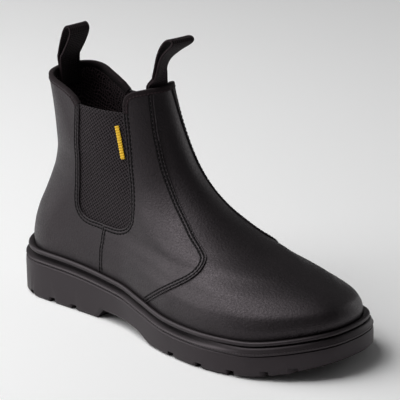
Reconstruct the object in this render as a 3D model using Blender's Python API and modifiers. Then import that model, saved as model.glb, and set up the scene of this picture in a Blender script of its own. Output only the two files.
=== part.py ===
"""Side gore work boot, right foot, as an assembly of separate solids.

The boot is worked out in millimetres in the shoe's own frame: x runs from the back of the heel to
the toe, y is positive towards the inner (medial) side, and z is the height above the floor.
Every mesh is moved to the middle of the sole's plan and scaled to metres when it is made.

Inside the boot a point of the upper is named by two numbers:
    turn   from 0 at the back, 0.5 at the front, back to 1; turns below 0.5 are on the outer side
    level  from 0 at the feather edge to 9 at the collar
"""
import math

import bmesh
import bpy
import numpy as np

MM = 0.001

# Driving dimensions
SOLE_LENGTH = 300.0
HEEL_ROUND = 40.0           # length of the heel's elliptic end
TOE_ROUND = 62.0            # length of the toe's rounded end
TOE_POWER = 2.4             # 2 is an ellipse, more is squarer
FOOT_POWER = 2.2            # the same for the upper's front, at the toe
SHAFT_POWER = 1.95          # and up the shaft
SHAFT_HALF_WIDTH = 35.0
UPPER_INSET = 5.0           # feather edge inside the sole's edge, at the sides
WALL = 2.2                  # leather with its lining
OVERLAY = 1.1               # height of the quarters above the vamp
GAP = 0.3                   # between neighbours

# Half widths of the sole's plan, a row for each distance from the heel
PLAN_COLUMNS = ("x", "outer", "inner")
PLAN_ROWS = [
    (0, 40, 40),
    (40, 43, 43),
    (90, 42, 40),
    (120, 43, 37),
    (150, 50, 42),
    (185, 58, 53),
    (215, 60, 59),
    (250, 55, 60),
    (300, 40, 57),
]

# Height of the bead, where upper and sole meet
BEAD_COLUMNS = ("x", "z")
BEAD_ROWS = [
    (0, 36.5),
    (60, 36),
    (130, 31),
    (200, 25),
    (250, 25.5),
    (300, 33),
]

# Underside of the sole: heel, breast, arch, step and forefoot
UNDER_COLUMNS = ("x", "z")
UNDER_ROWS = [
    (0, 3.0),
    (12, 0.0),
    (98, 0.0),
    (104, 7.0),
    (130, 6.4),
    (160, 4.0),
    (165, 0.0),
    (236, 0.0),
    (260, 1.6),
    (280, 5.2),
    (300, 11.0),
]

# Rings of the upper, a row for each level. front and back are its ends on the middle line, width
# is its share of the full half width at the back and at the front, foot is 1 where the ring
# follows the sole's plan and 0 where it follows the shaft, and round is the length of each end.
RING_COLUMNS = ("level", "front_x", "front_z", "back_x", "back_z", "back_width", "front_width",
                "foot", "front_round", "back_round")
RING_ROWS = [
    (0.0, 293.5, 30.0, 8.5, 33.5, 1.00, 1.00, 1.0, 60, 38),
    (0.6, 295, 37.0, 8, 42, 1.00, 1.00, 1.0, 60, 38),
    (1.2, 293, 44.0, 10, 52, 1.00, 0.96, 1.0, 62, 38),
    (2.0, 281, 52.0, 14, 64, 0.97, 0.83, 1.0, 70, 38),
    (3.0, 255, 60.0, 20, 77, 0.92, 0.72, 1.0, 84, 40),
    (4.0, 225, 67.0, 25, 89, 0.88, 0.74, 0.9, 88, 42),
    (5.0, 198, 77.0, 29, 101, 0.86, 0.79, 0.7, 88, 44),
    (6.0, 174, 92.0, 31, 113, 0.86, 0.84, 0.4, 80, 44),
    (7.0, 155, 110.0, 31, 127, 0.88, 0.92, 0.1, 70, 40),
    (8.0, 140, 137.0, 30, 145, 0.83, 0.95, 0.0, 62, 30),
    (9.0, 130, 166.0, 28, 164, 0.76, 0.96, 0.0, 55, 20),
    (10.0, 127, 180.0, 27, 176, 0.76, 0.96, 0.0, 53, 20),
]

# How far the elastic draws the empty collar in on the inner side, as a share of its half width
PINCH_COLUMNS = ("level", "share")
PINCH_ROWS = [
    (0.0, 0.0),
    (5.5, 0.0),
    (6.5, 0.08),
    (7.5, 0.22),
    (8.25, 0.34),
    (9.0, 0.42),
    (10.0, 0.45),
]

# Side of the sole from the footbed outwards and down. toward_edge is 0 at the upper's feather
# edge and 1 at the sole's outline, drop is measured down from the bead.
# Columns: toward_edge, drop
MIDSOLE_SIDE = [
    (0.10, 3.35),
    (0.36, 0.7),
    (0.44, 0.0),
    (0.56, 0.2),
    (0.68, 1.3),
    (0.66, 2.6),
    (0.50, 3.4),
    (0.46, 6.8),
    (0.80, 7.5),
    (0.92, 8.1),
    (0.80, 9.2),
]
OUTSOLE_SIDE = [
    (0.80, 9.2 + GAP),
    (0.95, 10.2),
    (1.00, 13.0),
]
EDGE_BEVEL = 2.0            # at the lower edge of the tread
INSOLE_THICK = 2.4
INSOLE_CLEARANCE = 0.8      # between insole and wall

# Gore: corners of the cut-out seen from the side, each with its radius
# Columns: x, z, radius
GORE_ROWS = [
    (75.5, 150.0, 0),
    (74.0, 69.0, 16),
    (131.0, 66.5, 17),
    (115.5, 150.0, 0),
]
GORE_SINK = 0.7             # gore's face below the leather's
GORE_THICK = 1.4
GORE_CLEARANCE = 0.4        # inside its cut-out
GORE_TURNS = (0.08, 0.45)
GORE_LEVELS = (1.6, 8.9)
OFF_MIDDLE = 8.0            # keeps each gore's cutter on its own side
ACROSS = (-90.0, 90.0)      # both sides of the boot

# Top edge of the collar seen from the side, from the back to the gore and from there on
TOPLINE_BACK = [(15, 165.0), (34, 163.8), (50, 161.5), (62, 158.0), (70, 154.5)]
TOPLINE_FRONT = [(115.0, 157.0), (116.2, 161.5), (120.0, 164.5), (128.0, 166.5), (150.0, 167.5)]
ABOVE_COLLAR = [(150.0, 230.0), (15.0, 230.0)]

# Front edge of the quarters seen from the side, from the collar to the sole
QUARTER_ROWS = [
    (127.0, 180),
    (129.0, 166),
    (132.5, 151),
    (138.0, 133),
    (147.0, 113),
    (161.0, 95),
    (179.0, 80),
    (193.5, 71.2),
    (200.5, 66.5),
    (202.0, 61.0),
    (196.5, 54.0),
    (181.0, 44.0),
    (154.5, 26.5),
    (148.0, 21.0),
]
QUARTER_BACK = [(-20, 15), (-20, 190)]      # behind the heel
OVERLAY_TAPER = 0.6         # levels in which the quarters' step rises from the feather edge
OVERLAY_BITE = 0.8          # how far the quarters reach into the wall under them

# Tread: places along the boot of the grooves that cut the lugs
TREAD_DEPTH = 4.0
RAIL = 5.0                  # width of the long grooves
GROOVE = 4.0                # width of those across
SIDE_GROOVE = 3.0           # width of those that open at the side, with a hole on the way
BEYOND_EDGE = 75.0          # from the middle line, well past the sole's edge
HEEL_V = ((26, -BEYOND_EDGE), (33, -30), (45, 0), (33, 30), (26, BEYOND_EDGE))
HEEL_RAIL = 19.0            # half distance between the heel's long grooves
HEEL_RAIL_PLACES = (37, 70, 110)
HEEL_NOTCHES = (54, 76)
HEEL_HOLE = 28.0            # from the middle line
CHEVRONS = (60, 74, 88)
CHEVRON_SWEEP = 8.0
TOE_RAIL_SHARE = 0.58       # place of the forefoot's long grooves between middle and edge
TOE_RAIL_ENDS = (158, 281)
TOE_NOTCHES = (191.5, 219, 245, 268)
TOE_HOLE = 9.0              # outside the long groove
HOLE_WIDTH = 5.0
MOUTH = 6.0                 # width of a side groove at the sole's edge
MOUTH_DEPTH = 3.0           # from the sole's widest line
BAR_PLACES = (178, 195, 212, 229, 246, 263)
BAR_SWEEP = 5.0
BAR_REACH = 34.0
TOE_ARC_MIDDLE = 276.0
TOE_ARC_RADII = (9.0, 60.0)

# Pull loops: the way of the webbing seen from the side, out of the collar and back into it.
# Columns: x, z, degrees by which its width is turned from straight across the boot
WEB_HALF_WIDTH = 9.2
WEB_THICK = 1.2
LOOP_BACK_ROWS = [
    (31.3, 172, 0),
    (33.4, 180, 0),
    (37.0, 190, 0),
    (39.8, 194.6, 0),
    (42.6, 195.8, 0),
    (44.8, 193.6, 0),
    (44.6, 190.0, 0),
    (41.2, 183.0, 0),
    (37.4, 177.0, 0),
    (34.2, 172, 0),
]
LOOP_FRONT_ROWS = [
    (127.0, 173, 18),
    (128.4, 179.0, 24),
    (131.8, 186.0, 18),
    (138.6, 193.0, 4),
    (147.0, 199.2, -6),
    (149.6, 202.4, -8),
    (147.2, 204.0, -8),
    (142.0, 202.4, -4),
    (135.6, 197.2, 6),
    (129.6, 189.4, 18),
    (125.9, 180.6, 24),
    (124.6, 173, 18),
]
SEAT_LEVELS = (8.25, 8.75, 9.1)
SEAT_DEPTHS = (1.0, 2.6)    # of the two legs' middles, inside the collar's inner face
SEAT_REACH = 0.12           # turns to each side that hold the webbing's width

# Colour and roughness of each material
FINISH = {
    "tread": ((0.038, 0.036, 0.037), 0.65),
    "welt layer": ((0.045, 0.043, 0.044), 0.6),
    "insole fabric": ((0.02, 0.02, 0.02), 0.9),
    "leather": ((0.05, 0.046, 0.048), 0.45),
    "elastic": ((0.012, 0.012, 0.013), 0.85),
    "webbing": ((0.015, 0.015, 0.016), 0.85),
}
SHARP_ANGLE = 35.0          # degrees; edges sharper than this stay sharp

RING_POINTS = 88            # around the sole
UPPER_POINTS = 64           # around the upper
UPPER_ROWS = 20             # from sole to collar


def columns(names, rows):
    """The table's columns by name."""
    values = np.array(rows, float)
    return {name: values[:, number] for number, name in enumerate(names)}


PLAN = columns(PLAN_COLUMNS, PLAN_ROWS)
BEAD = columns(BEAD_COLUMNS, BEAD_ROWS)
UNDER = columns(UNDER_COLUMNS, UNDER_ROWS)
RINGS = columns(RING_COLUMNS, RING_ROWS)
PINCH = columns(PINCH_COLUMNS, PINCH_ROWS)


def curve(at, places, values):
    """Smooth curve through a table, which never swings past its values."""
    step = np.diff(places)
    slope = np.diff(values) / step
    both = slope[:-1] * slope[1:]
    bend = np.where(both > 0, 2 * both / (slope[:-1] + slope[1:] + 1e-12), 0)
    tangent = np.concatenate([slope[:1], bend, slope[-1:]])
    at = np.clip(at, places[0], places[-1])
    i = np.clip(np.searchsorted(places, at, side="right") - 1, 0, len(step) - 1)
    t = (at - places[i]) / step[i]
    return ((1 + 2 * t) * (1 - t) ** 2 * values[i] + t * (1 - t) ** 2 * step[i] * tangent[i]
            + t * t * (3 - 2 * t) * values[i + 1] + t * t * (t - 1) * step[i] * tangent[i + 1])


def round_end(share, power):
    """Width of a rounded end, 0 at its tip and 1 where it meets the straight side."""
    return (1 - (1 - np.clip(share, 0, 1)) ** power) ** (1 / power)


def bead_height(x):
    """Height of the bead above the floor."""
    return curve(x, BEAD["x"], BEAD["z"])


def under_height(x):
    """Height of the sole's underside above the floor."""
    return np.interp(x, UNDER["x"], UNDER["z"])


def half_width(x, outer):
    """From the middle line to the sole's edge, before its ends are rounded."""
    sides = [curve(np.asarray(x, float), PLAN["x"], PLAN[side]) for side in ("outer", "inner")]
    return np.where(outer, *sides)


def toe_rail(x, outer):
    """From the middle line to the forefoot's long groove."""
    return half_width(x, outer) * TOE_RAIL_SHARE


def outline(angle):
    """Plan of the sole; the angle is 0 at the heel, pi at the toe, and below pi on the outer side."""
    x = SOLE_LENGTH * (1 - np.cos(angle)) / 2
    outer = np.sin(angle) >= 0
    width = half_width(x, outer) * round_end(x / HEEL_ROUND, 2)
    width = width * round_end((SOLE_LENGTH - x) / TOE_ROUND, TOE_POWER)
    return np.stack([x, np.where(outer, -width, width)], -1)


def upper_point(turn, level):
    """Outer face of the upper, before any overlay."""
    ring = {name: curve(level, RINGS["level"], RINGS[name]) for name in RING_COLUMNS[1:]}
    angle = 2 * np.pi * turn
    share = (1 - np.cos(angle)) / 2
    length = ring["front_x"] - ring["back_x"]
    x = ring["back_x"] + length * share
    flat = np.interp(x, [0, SOLE_LENGTH], BEAD["z"][[0, -1]])
    z = ring["back_z"] + (ring["front_z"] - ring["back_z"]) * share
    z = z + (bead_height(x) - flat) * np.clip(1 - level / 5, 0, 1) * ring["foot"]
    outer = np.sin(angle) >= 0
    drawn_in = 1 - curve(level, PINCH["level"], PINCH["share"]) * np.sin(np.pi * share) ** 1.5
    foot_width = half_width(x, outer) - UPPER_INSET
    full = ring["foot"] * foot_width + (1 - ring["foot"]) * SHAFT_HALF_WIDTH
    ease = share * share * (3 - 2 * share)
    full = full * (ring["back_width"] + (ring["front_width"] - ring["back_width"]) * ease)
    back = round_end(share * length / np.minimum(ring["back_round"], length / 2), 2)
    power = FOOT_POWER + (SHAFT_POWER - FOOT_POWER) * np.clip(level / 5, 0, 1)
    front = round_end((1 - share) * length / np.minimum(ring["front_round"], 0.6 * length), power)
    y = np.where(outer, -1, drawn_in) * full * back * front
    return np.stack([x, y, z], -1)


def upper_face(turn, level, out):
    """The upper's face moved out along its normal."""
    step = 0.002
    around = upper_point(turn + step, level) - upper_point(turn - step, level)
    rise = upper_point(turn, level + step) - upper_point(turn, level - step)
    normal = np.cross(around, rise)
    normal = normal / np.linalg.norm(normal, axis=-1, keepdims=True)
    return upper_point(turn, level) + np.asarray(out)[..., None] * normal


def smooth_line(rows, steps):
    """Points of a smooth open line through the rows."""
    rows = np.array(rows, float)
    ends = np.concatenate([[2 * rows[0] - rows[1]], rows, [2 * rows[-1] - rows[-2]]])
    line = []
    for a, b, c, d in zip(ends[:-3], ends[1:-2], ends[2:-1], ends[3:]):
        for t in np.arange(steps) / steps:
            line.append(0.5 * (2 * b + (c - a) * t + (2 * a - 5 * b + 4 * c - d) * t * t
                               + (3 * b - a - 3 * c + d) * t ** 3))
    return np.array(line + [rows[-1]])


def rounded(rows, shrink=0.0):
    """Closed outline with its corners rounded; shrink moves it towards its middle."""
    rows = np.array(rows, float)
    corner, radius = rows[:, :2], rows[:, 2]
    if shrink:
        middle = corner.mean(axis=0)
        half = np.abs(corner - middle).max(axis=0)
        corner = middle + (corner - middle) * (1 - shrink / half)
    points = []
    for i, here in enumerate(corner):
        if not radius[i]:
            points.append(here)
            continue
        back = corner[i - 1] - here
        on = corner[(i + 1) % len(corner)] - here
        back = back / np.linalg.norm(back)
        on = on / np.linalg.norm(on)
        half_angle = math.acos(np.clip(back @ on, -1, 1)) / 2
        reach = radius[i] / math.tan(half_angle)
        for t in np.linspace(0, 1, 9):
            start, end = here + back * reach, here + on * reach
            points.append((1 - t) ** 2 * start + 2 * t * (1 - t) * here + t * t * end)
    return np.array(points)


def sole_angles():
    """Angles around the sole, with stations exactly at each change of the underside."""
    angles = np.linspace(0, np.pi, RING_POINTS // 2 + 1)
    for x in UNDER["x"][1:-1]:
        exact = math.acos(1 - 2 * x / SOLE_LENGTH)
        angles[np.argmin(np.abs(angles - exact))] = exact
    return np.concatenate([angles, 2 * np.pi - angles[-2:0:-1]])


ANGLES = sole_angles()
PLAN_RING = outline(ANGLES)
MIDDLE = (PLAN_RING.max(axis=0) + PLAN_RING.min(axis=0)) / 2


def make(name, points, faces, finish, folder):
    """A mesh object from points in millimetres; one with no finish is a cutter."""
    points = (np.asarray(points, float) - (*MIDDLE, 0)) * MM
    mesh = bpy.data.meshes.new(name)
    mesh.from_pydata(points.tolist(), [], [list(map(int, face)) for face in faces])
    mesh.update()
    piece = bpy.data.objects.new(name, mesh)
    folder.objects.link(piece)
    mesh.shade_smooth()
    mesh.set_sharp_from_angle(angle=math.radians(SHARP_ANGLE))
    if finish is None:
        piece.hide_render = True
        piece.display_type = "WIRE"
        return piece
    colour, rough = FINISH[finish]
    material = bpy.data.materials.new(finish)
    material.use_nodes = True
    shader = material.node_tree.nodes["Principled BSDF"]
    shader.inputs["Base Color"].default_value = (*colour, 1)
    shader.inputs["Roughness"].default_value = rough
    mesh.materials.append(material)
    return piece


def outward(piece):
    """Turns every face of a closed mesh outwards."""
    shape = bmesh.new()
    shape.from_mesh(piece.data)
    bmesh.ops.recalc_face_normals(shape, faces=shape.faces)
    shape.to_mesh(piece.data)
    shape.free()
    return piece


def loft(name, rings, finish, folder):
    """Closed solid through rings of equal count; its ends are closed across the boot."""
    count = len(rings[0])
    faces = []
    for number in range(len(rings) - 1):
        low, high = number * count, (number + 1) * count
        for i in range(count):
            j = (i + 1) % count
            faces.append((low + i, low + j, high + j, high + i))
    for first in (0, (len(rings) - 1) * count):
        for i in range(count // 2):
            face = [first + i, first + i + 1, first + (count - i - 1) % count]
            if i:
                face.append(first + count - i)
            faces.append(dict.fromkeys(face))
    return outward(make(name, np.concatenate(rings), faces, finish, folder))


def prism(name, side, low, high, folder):
    """Cutter: an outline seen from the side, between two distances across the boot."""
    count = len(side)
    near = [(x, low, z) for x, z in side]
    far = [(x, high, z) for x, z in side]
    walls = [(i, (i + 1) % count, count + (i + 1) % count, count + i) for i in range(count)]
    ends = [range(count), range(count, 2 * count)]
    return outward(make(name, near + far, walls + ends, None, folder))


def groove(name, line, widths, folder):
    """Cutter for one groove of the tread along a line of the plan."""
    line = np.array(line, float)
    along = np.gradient(line, axis=0)
    along = along / np.linalg.norm(along, axis=1, keepdims=True)
    across = np.stack([-along[:, 1], along[:, 0]], -1) * np.asarray(widths, float)[:, None] / 2
    rows = []
    for side in (-1, 1):
        edge = line + side * across
        top = under_height(line[:, 0]) + TREAD_DEPTH
        rows.append(np.column_stack([edge, np.full(len(line), -TREAD_DEPTH)]))
        rows.append(np.column_stack([edge, top]))
    count = len(line)
    low_a, top_a, low_b, top_b = (number * count for number in range(4))
    faces = []
    for i in range(count - 1):
        for a, b in ((low_a, top_a), (top_a, top_b), (top_b, low_b), (low_b, low_a)):
            faces.append((a + i, a + i + 1, b + i + 1, b + i))
    for i in (0, count - 1):
        faces.append((low_a + i, top_a + i, top_b + i, low_b + i))
    return outward(make(name, np.concatenate(rows), faces, None, folder))


def boolean(piece, operation, other):
    step = piece.modifiers.new(operation.lower(), "BOOLEAN")
    step.operation = operation
    step.solver = "EXACT"
    if isinstance(other, bpy.types.Collection):
        step.operand_type = "COLLECTION"
        step.collection = other
    else:
        step.object = other


def shell(name, turns, levels, out, thick, finish, folder):
    """Part of the upper's face, open at its edges, thickened inwards."""
    closed = len(turns) == UPPER_POINTS
    turn, level = np.meshgrid(turns, levels)
    points = upper_face(turn, level, out(level)).reshape(-1, 3)
    count = len(turns)
    faces = []
    for row in range(len(levels) - 1):
        for i in range(count if closed else count - 1):
            a, b = row * count + i, row * count + (i + 1) % count
            faces.append((a, b, b + count, a + count))
    piece = make(name, points, faces, finish, folder)
    wall = piece.modifiers.new("wall", "SOLIDIFY")
    wall.thickness = thick * MM
    wall.offset = -1
    return piece


def side_ring(row):
    """Ring of the sole's side, between the feather edge and the outline."""
    toward_edge, drop = row
    feather = upper_point(ANGLES / (2 * np.pi), np.zeros(len(ANGLES)))[:, :2]
    plan = feather + (PLAN_RING - feather) * toward_edge
    return np.column_stack([plan, bead_height(plan[:, 0]) - drop])


def build_midsole(folder):
    rings = [side_ring(row) for row in MIDSOLE_SIDE]
    return loft("midsole", rings, "welt layer", folder)


def build_outsole(folder, cutters):
    rings = [side_ring(row) for row in OUTSOLE_SIDE]
    under = under_height(PLAN_RING[:, 0])
    rings.append(np.column_stack([PLAN_RING, under + EDGE_BEVEL]))
    feather = side_ring((0, 0))[:, :2]
    share = EDGE_BEVEL / np.linalg.norm(PLAN_RING - feather, axis=1, keepdims=True)
    inner = PLAN_RING + (feather - PLAN_RING) * share
    rings.append(np.column_stack([inner, under]))
    outsole = loft("outsole", rings, "tread", folder)
    boolean(outsole, "DIFFERENCE", build_tread(cutters))
    return outsole


def build_tread(cutters):
    """All the grooves between the lugs, in a collection of their own."""
    tread = bpy.data.collections.new("tread cutters")
    cutters.children.link(tread)

    def cut(name, line, width):
        widths = width if isinstance(width, tuple) else (width,) * len(line)
        groove("groove_" + name, line, widths, tread)

    def cut_side(name, x, side, start, hole):
        edge = half_width(x, side < 0)
        across = (start, hole, hole + HOLE_WIDTH, edge - MOUTH_DEPTH, BEYOND_EDGE)
        widths = (SIDE_GROOVE, HOLE_WIDTH, SIDE_GROOVE, MOUTH, MOUTH)
        cut("{}_{}".format(name, x), [(x, side * y) for y in across], widths)

    cut("heel_v", HEEL_V, GROOVE)
    for x in CHEVRONS:
        line = [(x - CHEVRON_SWEEP, -HEEL_RAIL), (x, 0), (x - CHEVRON_SWEEP, HEEL_RAIL)]
        cut("chevron_{}".format(x), line, GROOVE)
    for side, word in ((-1, "outer"), (1, "inner")):
        rail = [(x, side * HEEL_RAIL) for x in HEEL_RAIL_PLACES]
        cut("heel_rail_" + word, rail, RAIL)
        for x in HEEL_NOTCHES:
            cut_side("heel_" + word, x, side, HEEL_RAIL, HEEL_HOLE)

        places = np.linspace(*TOE_RAIL_ENDS, 9)
        rail = side * toe_rail(places, side < 0)
        rail = rail * round_end((SOLE_LENGTH - places) / TOE_ROUND, TOE_POWER)
        cut("toe_rail_" + word, np.column_stack([places, rail]), RAIL)
        for x in TOE_NOTCHES:
            start = toe_rail(x, side < 0)
            cut_side("toe_" + word, x, side, start, start + TOE_HOLE)
    for x in BAR_PLACES:
        reach = min(toe_rail(x, True), BAR_REACH)
        cut("bar_{}".format(x), [(x - BAR_SWEEP, -reach), (x, 0), (x + BAR_SWEEP, reach)], GROOVE)
    deep, wide = TOE_ARC_RADII
    arc = [(TOE_ARC_MIDDLE + deep * math.cos(t), wide * math.sin(t))
           for t in np.linspace(-1.5, 1.5, 7)]
    cut("toe_arc", arc, GROOVE)
    return tread


def build_insole(folder):
    feather = upper_point(ANGLES / (2 * np.pi), np.zeros(len(ANGLES)))
    along = np.roll(feather, -1, axis=0) - np.roll(feather, 1, axis=0)
    away = np.column_stack([along[:, 1], -along[:, 0]])
    away = away / np.linalg.norm(away, axis=1, keepdims=True)
    plan = feather[:, :2] - away * (WALL + INSOLE_CLEARANCE)
    height = bead_height(plan[:, 0]) - MIDSOLE_SIDE[0][1] + GAP
    rings = [np.column_stack([plan, height + lift]) for lift in (0.0, INSOLE_THICK)]
    return loft("insole", rings, "insole fabric", folder)


def build_upper(folder, cutters, opening):
    turns = np.arange(UPPER_POINTS) / UPPER_POINTS
    levels = np.concatenate([np.linspace(0, 2, 6), np.linspace(2.5, 9.5, UPPER_ROWS - 6)])
    upper = shell("upper", turns, levels, lambda level: 0 * level, WALL, "leather", folder)

    def step_height(level):
        return OVERLAY * np.clip(level / OVERLAY_TAPER, 0, 1)
    levels = np.concatenate([[OVERLAY_TAPER / 10], levels[1:]])
    bite = OVERLAY + OVERLAY_BITE
    quarters = shell("quarters", turns, levels, step_height, bite, None, cutters)
    seam = smooth_line(QUARTER_ROWS, 3)
    region = np.concatenate([seam, QUARTER_BACK])
    boolean(quarters, "INTERSECT", prism("quarter_region", region, *ACROSS, cutters))
    boolean(upper, "UNION", quarters)
    boolean(upper, "DIFFERENCE", opening)
    return upper


def build_opening(cutters):
    """Cuts the collar's top edge and the two gore openings in one go."""
    outline_rows = (rounded(GORE_ROWS), TOPLINE_FRONT, ABOVE_COLLAR, TOPLINE_BACK)
    return prism("opening", np.concatenate(outline_rows), *ACROSS, cutters)


def build_gore(name, side, folder, cutters):
    turns = np.linspace(*GORE_TURNS, 18)
    if side > 0:
        turns = 1 - turns[::-1]
    levels = np.linspace(*GORE_LEVELS, 16)
    gore = shell(name, turns, levels, lambda level: 0 * level - GORE_SINK, GORE_THICK,
                 "elastic", folder)
    region = rounded(GORE_ROWS, GORE_CLEARANCE)
    ends = sorted((side * OFF_MIDDLE, side * ACROSS[1]))
    boolean(gore, "INTERSECT", prism(name + "_region", region, *ends, cutters))
    return gore


def build_loop(name, rows, turn, folder):
    """Webbing that rises from the inside of the collar, folds over and comes back."""
    stations = np.linspace(-1, 1, 5) * WEB_HALF_WIDTH
    near, far = SEAT_DEPTHS
    lines = [seat_line(turn, level, near, stations) for level in SEAT_LEVELS]
    for x, z, turned in smooth_line(rows, 2):
        angle = math.radians(turned)
        lines.append([(x - w * math.sin(angle), w * math.cos(angle), z) for w in stations])
    lines += [seat_line(turn, level, far, stations) for level in SEAT_LEVELS[::-1]]
    count = len(stations)
    faces = []
    for row in range(len(lines) - 1):
        for i in range(count - 1):
            a = row * count + i
            faces.append((a, a + 1, a + 1 + count, a + count))
    loop = make(name, np.concatenate(lines), faces, "webbing", folder)
    web = loop.modifiers.new("webbing", "SOLIDIFY")
    web.thickness = WEB_THICK * MM
    web.offset = 0
    return loop


def seat_line(turn, level, depth, stations):
    """A line across the webbing that lies against the inside of the collar."""
    turns = turn + SEAT_REACH * np.linspace(-1, 1, 97)
    face = upper_face(turns, np.full(turns.shape, level), np.full(turns.shape, -WALL - depth))
    order = np.argsort(face[:, 1])
    x = np.interp(stations, face[order, 1], face[order, 0])
    z = np.interp(stations, face[order, 1], face[order, 2])
    return [(a, w, b) for a, w, b in zip(x, stations, z)]


def main():
    for old in list(bpy.data.objects):
        bpy.data.objects.remove(old)
    folder = bpy.data.collections.new("side gore work boot")
    cutters = bpy.data.collections.new("cutters")
    for collection in (folder, cutters):
        bpy.context.scene.collection.children.link(collection)
    opening = build_opening(cutters)
    build_outsole(folder, cutters)
    build_midsole(folder)
    build_insole(folder)
    build_upper(folder, cutters, opening)
    build_gore("gore_lateral", -1, folder, cutters)
    build_gore("gore_medial", 1, folder, cutters)
    build_loop("pull_loop_back", LOOP_BACK_ROWS, 0.0, folder)
    build_loop("pull_loop_front", LOOP_FRONT_ROWS, 0.5, folder)


main()
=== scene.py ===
# %% [markdown]
# A side gore work boot, right foot, built around the plain solids of its CAD model. Here each one
# gets what the eye looks for on the real boot: panels with edges and stitches, creases, woven
# elastic, webbing, a bound collar and a moulded sole.

import math

import bmesh
import bpy
import numpy as np
from mathutils import Matrix, Vector


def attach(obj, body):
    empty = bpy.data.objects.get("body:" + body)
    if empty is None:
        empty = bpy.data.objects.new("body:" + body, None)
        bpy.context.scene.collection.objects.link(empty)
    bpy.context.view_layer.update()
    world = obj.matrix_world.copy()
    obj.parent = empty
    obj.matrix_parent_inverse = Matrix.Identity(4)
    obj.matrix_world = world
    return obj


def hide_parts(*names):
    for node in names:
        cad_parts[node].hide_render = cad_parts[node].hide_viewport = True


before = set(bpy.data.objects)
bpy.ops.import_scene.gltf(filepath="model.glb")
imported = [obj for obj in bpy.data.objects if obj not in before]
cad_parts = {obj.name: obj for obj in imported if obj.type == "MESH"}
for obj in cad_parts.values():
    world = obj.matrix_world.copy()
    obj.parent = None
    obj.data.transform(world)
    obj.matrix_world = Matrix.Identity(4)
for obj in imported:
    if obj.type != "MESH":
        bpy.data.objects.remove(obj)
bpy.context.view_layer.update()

# %% [markdown]
# Everything is in millimetres in the shoemaker's own frame: x runs from the back of the heel to the
# toe, y is positive on the inner side of the foot, and z is the height above the floor. The tables
# of the CAD source describe the sole's plan, its bead and the rings of the last.

# %% The boot's measures
MM = 0.001
SOLE_LENGTH = 300.0
HEEL_ROUND, TOE_ROUND, TOE_POWER = 40.0, 62.0, 2.4
FOOT_POWER, SHAFT_POWER = 2.2, 1.95
SHAFT_HALF_WIDTH = 35.0
UPPER_INSET = 5.0
WALL = 2.2  # leather with its lining
OVERLAY = 1.1  # the quarters' step above the vamp
GORE_SINK = 0.7  # the gores' step below the leather


def table(columns, rows):
    """The columns of a table by their names."""
    return dict(zip(columns.split(), np.array(rows, float).T))


PLAN = table("x outer inner", [
    (0, 40, 40), (40, 43, 43), (90, 42, 40), (120, 43, 37), (150, 50, 42), (185, 58, 53),
    (215, 60, 59), (250, 55, 60), (300, 40, 57)])
BEAD = table("x z", [(0, 36.5), (60, 36), (130, 31), (200, 25), (250, 25.5), (300, 33)])
UNDER = table("x z", [
    (0, 3), (12, 0), (98, 0), (104, 7), (130, 6.4), (160, 4), (165, 0), (236, 0), (260, 1.6),
    (280, 5.2), (300, 11)])
RINGS = table(
    "level front_x front_z back_x back_z back_width front_width foot front_round back_round", [
        (0.0, 293.5, 30, 8.5, 33.5, 1.00, 1.00, 1.0, 60, 38),
        (0.6, 295, 37, 8, 42, 1.00, 1.00, 1.0, 60, 38),
        (1.2, 293, 44, 10, 52, 1.00, 0.96, 1.0, 62, 38),
        (2.0, 281, 52, 14, 64, 0.97, 0.83, 1.0, 70, 38),
        (3.0, 255, 60, 20, 77, 0.92, 0.72, 1.0, 84, 40),
        (4.0, 225, 67, 25, 89, 0.88, 0.74, 0.9, 88, 42),
        (5.0, 198, 77, 29, 101, 0.86, 0.79, 0.7, 88, 44),
        (6.0, 174, 92, 31, 113, 0.86, 0.84, 0.4, 80, 44),
        (7.0, 155, 110, 31, 127, 0.88, 0.92, 0.1, 70, 40),
        (8.0, 140, 137, 30, 145, 0.83, 0.95, 0.0, 62, 30),
        (9.0, 130, 166, 28, 164, 0.76, 0.96, 0.0, 55, 20),
        (10.0, 127, 180, 27, 176, 0.76, 0.96, 0.0, 53, 20)])
PINCH = table("level share", [
    (0, 0), (5.5, 0), (6.5, 0.08), (7.5, 0.22), (8.25, 0.34), (9, 0.42), (10, 0.45)])

# %% [markdown]
# The upper is one curved surface. A point on it has a turn, which goes once round the boot from the
# back, and a level, which goes up from the feather edge to the collar. All panels, seams and
# stitches are laid on this one function, so they fit each other.

# %% The surface of the last


def curve(at, places, values):
    """Monotone cubic: Hermite pieces whose slope is the harmonic mean of the two chords."""
    step = np.diff(places)
    slope = np.diff(values) / step
    both = slope[:-1] * slope[1:]
    bend = np.where(both > 0, 2 * both / (slope[:-1] + slope[1:] + 1e-12), 0)
    tangent = np.concatenate([slope[:1], bend, slope[-1:]])
    at = np.clip(np.asarray(at, float), places[0], places[-1])
    i = np.clip(np.searchsorted(places, at, side="right") - 1, 0, len(step) - 1)
    t = (at - places[i]) / step[i]
    return ((1 + 2 * t) * (1 - t) ** 2 * values[i] + t * (1 - t) ** 2 * step[i] * tangent[i]
            + t * t * (3 - 2 * t) * values[i + 1] + t * t * (t - 1) * step[i] * tangent[i + 1])


def round_end(share, power):
    """Superellipse: (1 - (1 - share)^power)^(1/power), 0 at the tip and 1 at the straight side."""
    return (1 - (1 - np.clip(share, 0, 1)) ** power) ** (1 / power)


def bead_height(x):
    """Height of the bead at x."""
    return curve(x, BEAD["x"], BEAD["z"])


def half_width(x, outer):
    """Half width of the sole's plan before its ends are rounded."""
    return np.where(outer, curve(x, PLAN["x"], PLAN["outer"]), curve(x, PLAN["x"], PLAN["inner"]))


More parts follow.
